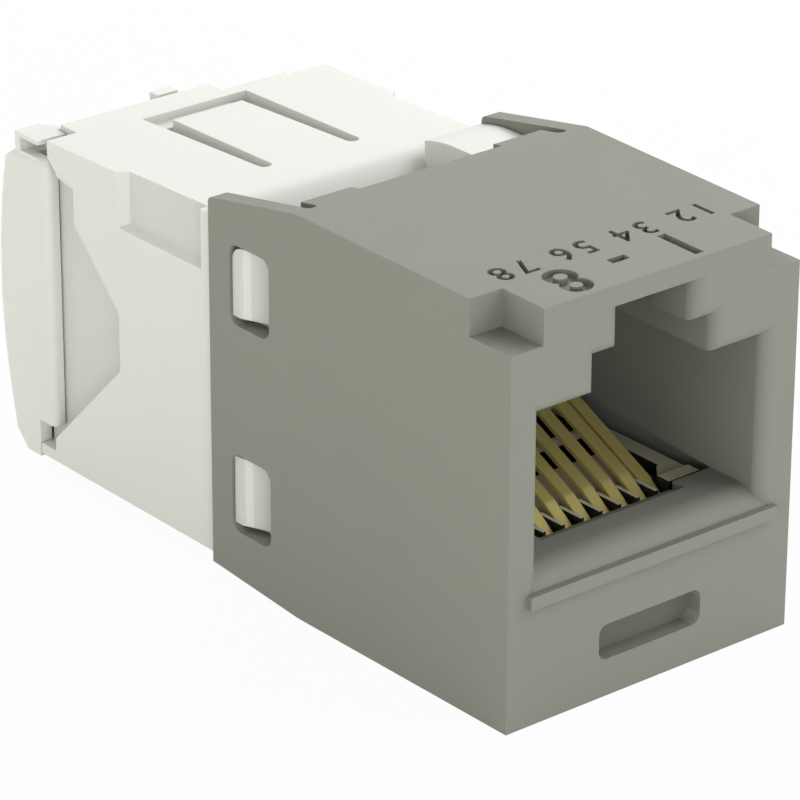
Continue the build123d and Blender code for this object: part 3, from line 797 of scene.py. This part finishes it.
@dataclass
class ContactSet:
    """The spring contacts, their carrier, the circuit board and the wire terminals."""

    frame: dict
    effects: SurfaceEffects
    edges: EdgeFinish
    count: int = 8
    edge: float = 0.03 * MM
    plating: PlatedStrip = PlatedStrip(
        name="contact_gold",
        colour=(0.66, 0.56, 0.2),
        shade=(0.6, 0.5, 0.17),
        roughness=0.45,
        metallic=0.4,
    )
    tin: PlatedStrip = PlatedStrip(
        name="terminal_tin", colour=(0.72, 0.71, 0.68), shade=(0.62, 0.6, 0.56), roughness=0.36
    )
    cream: MouldedPlastic = field(
        default_factory=lambda: MouldedPlastic(
            name="carrier_cream",
            colour=(0.8, 0.76, 0.57),
            shade=(0.75, 0.71, 0.52),
            roughness=0.5,
            grain=Grain.FINE,
            bounce=1.0,
            # Painted shade, near black, in the comb's gaps, and part of it on the ramp.
            painted_shade=PaintedShade(
                Place.DEEP_GAPS,
                {
                    "Top": 6.25 * MM,
                    "Span": 0.06 * MM,
                    "Half Width": 4.2 * MM,
                    "Ramp Start": -12.55 * MM,
                    "Ramp Share": 0.45,
                },
                colour=(0.02, 0.018, 0.015),
            ),
        )
    )
    laminate: MouldedPlastic = MouldedPlastic(
        name="board_green",
        colour=(0.05, 0.2, 0.09),
        shade=(0.03, 0.14, 0.06),
        roughness=0.35,
        grain=Grain.COARSE,
        tone_contrast=1.5,
    )

    def build(self) -> None:
        """Dresses the contacts, terminals, carrier and board."""
        nodes = self.frame["nodes"]
        for kind, finish in (("contact", self.plating), ("idc_terminal", self.tin)):
            material = finish.material(self.effects)
            for number in range(1, self.count + 1):
                self._dress_small(nodes[f"{kind}_{number}"], material)
        self._dress_small(nodes["contact_carrier"], self.cream.material(self.effects))
        dress(nodes["circuit_board"], self.laminate.material(self.effects))
        LOG.info("contacts, terminals, carrier and board dressed")

    def _dress_small(self, node: bpy.types.Object, material: bpy.types.Material) -> None:
        """Dresses a small piece and breaks its edges with one facet."""
        dress(node, material)
        self.edges.apply(node, self.edge, segments=1)


@dataclass(frozen=True)
class Lamp:
    """One soft square lamp that faces the jack."""

    name: str
    place: Point
    size: float
    watts: float
    tint: Colour = (1.0, 1.0, 0.985)

    def build(self) -> None:
        """Adds the lamp."""
        data = bpy.data.lights.new(self.name, "AREA")
        data.size = self.size
        data.energy = self.watts
        data.color = self.tint
        lamp = bpy.data.objects.new(self.name, data)
        bpy.context.scene.collection.objects.link(lamp)
        lamp.location = self.place
        lamp.rotation_mode = "QUATERNION"
        lamp.rotation_quaternion = (-Vector(self.place)).to_track_quat("-Z", "Y")


@dataclass
class Studio:
    """The pale floor, the soft light and the camera at the photograph's angle."""

    azimuth: float = -39.4509
    elevation: float = 24.5842
    roll: float = 0.2186
    position: Point = (-0.110942, -0.135973, 0.086645)
    lens: float = 203.38
    sensor: float = 36.0
    clip: tuple[float, float] = (0.01, 10.0)
    sky: Colour = (1.0, 1.0, 0.985)
    ambient: float = 0.38
    floor_size: float = 3.0
    floor_colour: Colour = (0.93, 0.93, 0.92)
    floor_glow: float = 0.96
    lamps: tuple[Lamp, ...] = (
        Lamp("rear_right", (0.4, 0.3, 0.35), 0.4, 1.45),
        Lamp("rear_left", (-0.35, 0.35, 0.4), 0.4, 0.6, (1.0, 0.985, 0.9)),
        Lamp("high_right", (0.35, -0.25, 0.45), 0.4, 1.25),
        Lamp("low_front", (-0.25, -0.6, 0.06), 0.3, 1.6),
        Lamp("low_left", (-0.6, -0.15, 0.06), 0.3, 0.8, (1.0, 0.98, 0.88)),
    )

    def camera(self) -> None:
        """Places the camera."""
        data = bpy.data.cameras.new("camera")
        data.sensor_width = self.sensor
        data.lens = self.lens
        data.clip_start, data.clip_end = self.clip
        camera = bpy.data.objects.new("camera", data)
        bpy.context.scene.collection.objects.link(camera)
        turn, rise, roll = map(math.radians, (self.azimuth, self.elevation, self.roll))
        level = math.cos(rise)
        back = Vector((math.sin(turn) * level, -math.cos(turn) * level, math.sin(rise)))
        right = Vector((0.0, 0.0, 1.0)).cross(back).normalized()
        up = back.cross(right)
        rolled_right = right * math.cos(roll) + up * math.sin(roll)
        rolled_up = up * math.cos(roll) - right * math.sin(roll)
        facing = Matrix((rolled_right, rolled_up, back)).transposed()
        camera.matrix_world = Matrix.Translation(self.position) @ facing.to_4x4()
        bpy.context.scene.camera = camera

    def world(self) -> None:
        """Lights the scene evenly and shows white behind the jack."""
        world = bpy.data.worlds.new("studio")
        bpy.context.scene.world = world
        world.use_nodes = True
        tree = world.node_tree
        light = tree.nodes["Background"]
        light.inputs["Color"].default_value = (*self.sky, 1.0)
        light.inputs["Strength"].default_value = self.ambient
        white = tree.nodes.new("ShaderNodeBackground")
        white.inputs["Color"].default_value = (*WHITE, 1.0)
        white.inputs["Strength"].default_value = 1.0
        rays = tree.nodes.new("ShaderNodeLightPath").outputs
        seen = math_node(tree, "MAXIMUM", rays["Is Camera Ray"], rays["Is Glossy Ray"])
        shown = math_node(tree, "MAXIMUM", seen, rays["Is Transmission Ray"])
        mix = tree.nodes.new("ShaderNodeMixShader")
        tree.links.new(shown, mix.inputs["Fac"])
        tree.links.new(light.outputs["Background"], mix.inputs[1])
        tree.links.new(white.outputs["Background"], mix.inputs[2])
        tree.links.new(mix.outputs["Shader"], tree.nodes["World Output"].inputs["Surface"])

    def floor(self) -> None:
        """Lays the pale floor, which keeps a faint shadow."""
        half = self.floor_size / 2
        mesh = bpy.data.meshes.new("floor")
        square = [(-half, -half, 0.0), (half, -half, 0.0), (half, half, 0.0), (-half, half, 0.0)]
        mesh.from_pydata(square, [], [(0, 1, 2, 3)])
        floor = bpy.data.objects.new("floor", mesh)
        bpy.context.scene.collection.objects.link(floor)
        made = bpy.data.materials.new("pale_floor")
        made.use_nodes = True
        tree = made.node_tree
        surface = tree.nodes["Principled BSDF"]
        surface.inputs["Base Color"].default_value = (*self.floor_colour, 1.0)
        surface.inputs["Roughness"].default_value = 0.9
        surface.inputs["Specular IOR Level"].default_value = 0.1
        glow = tree.nodes.new("ShaderNodeEmission")
        path = tree.nodes.new("ShaderNodeLightPath")
        part = math_node(tree, "MULTIPLY", path.outputs["Is Camera Ray"], self.floor_glow)
        mix = tree.nodes.new("ShaderNodeMixShader")
        tree.links.new(part, mix.inputs["Fac"])
        tree.links.new(surface.outputs["BSDF"], mix.inputs[1])
        tree.links.new(glow.outputs["Emission"], mix.inputs[2])
        tree.links.new(mix.outputs["Shader"], tree.nodes["Material Output"].inputs["Surface"])
        mesh.materials.append(made)

    def build(self) -> None:
        """Sets up the whole studio."""
        bpy.context.scene.view_settings.view_transform = "Standard"
        self.camera()
        self.world()
        self.floor()
        for lamp in self.lamps:
            lamp.build()
        LOG.info("studio ready")


def main() -> None:
    """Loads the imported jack, dresses it and sets up the studio."""
    logging.basicConfig(level=logging.INFO)
    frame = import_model()
    effects = SurfaceEffects()
    edges = EdgeFinish()
    for assembly in (Housing, RearBody, ContactSet):
        assembly(frame, effects, edges).build()
    Studio().build()


if __name__ == "__main__":
    main()
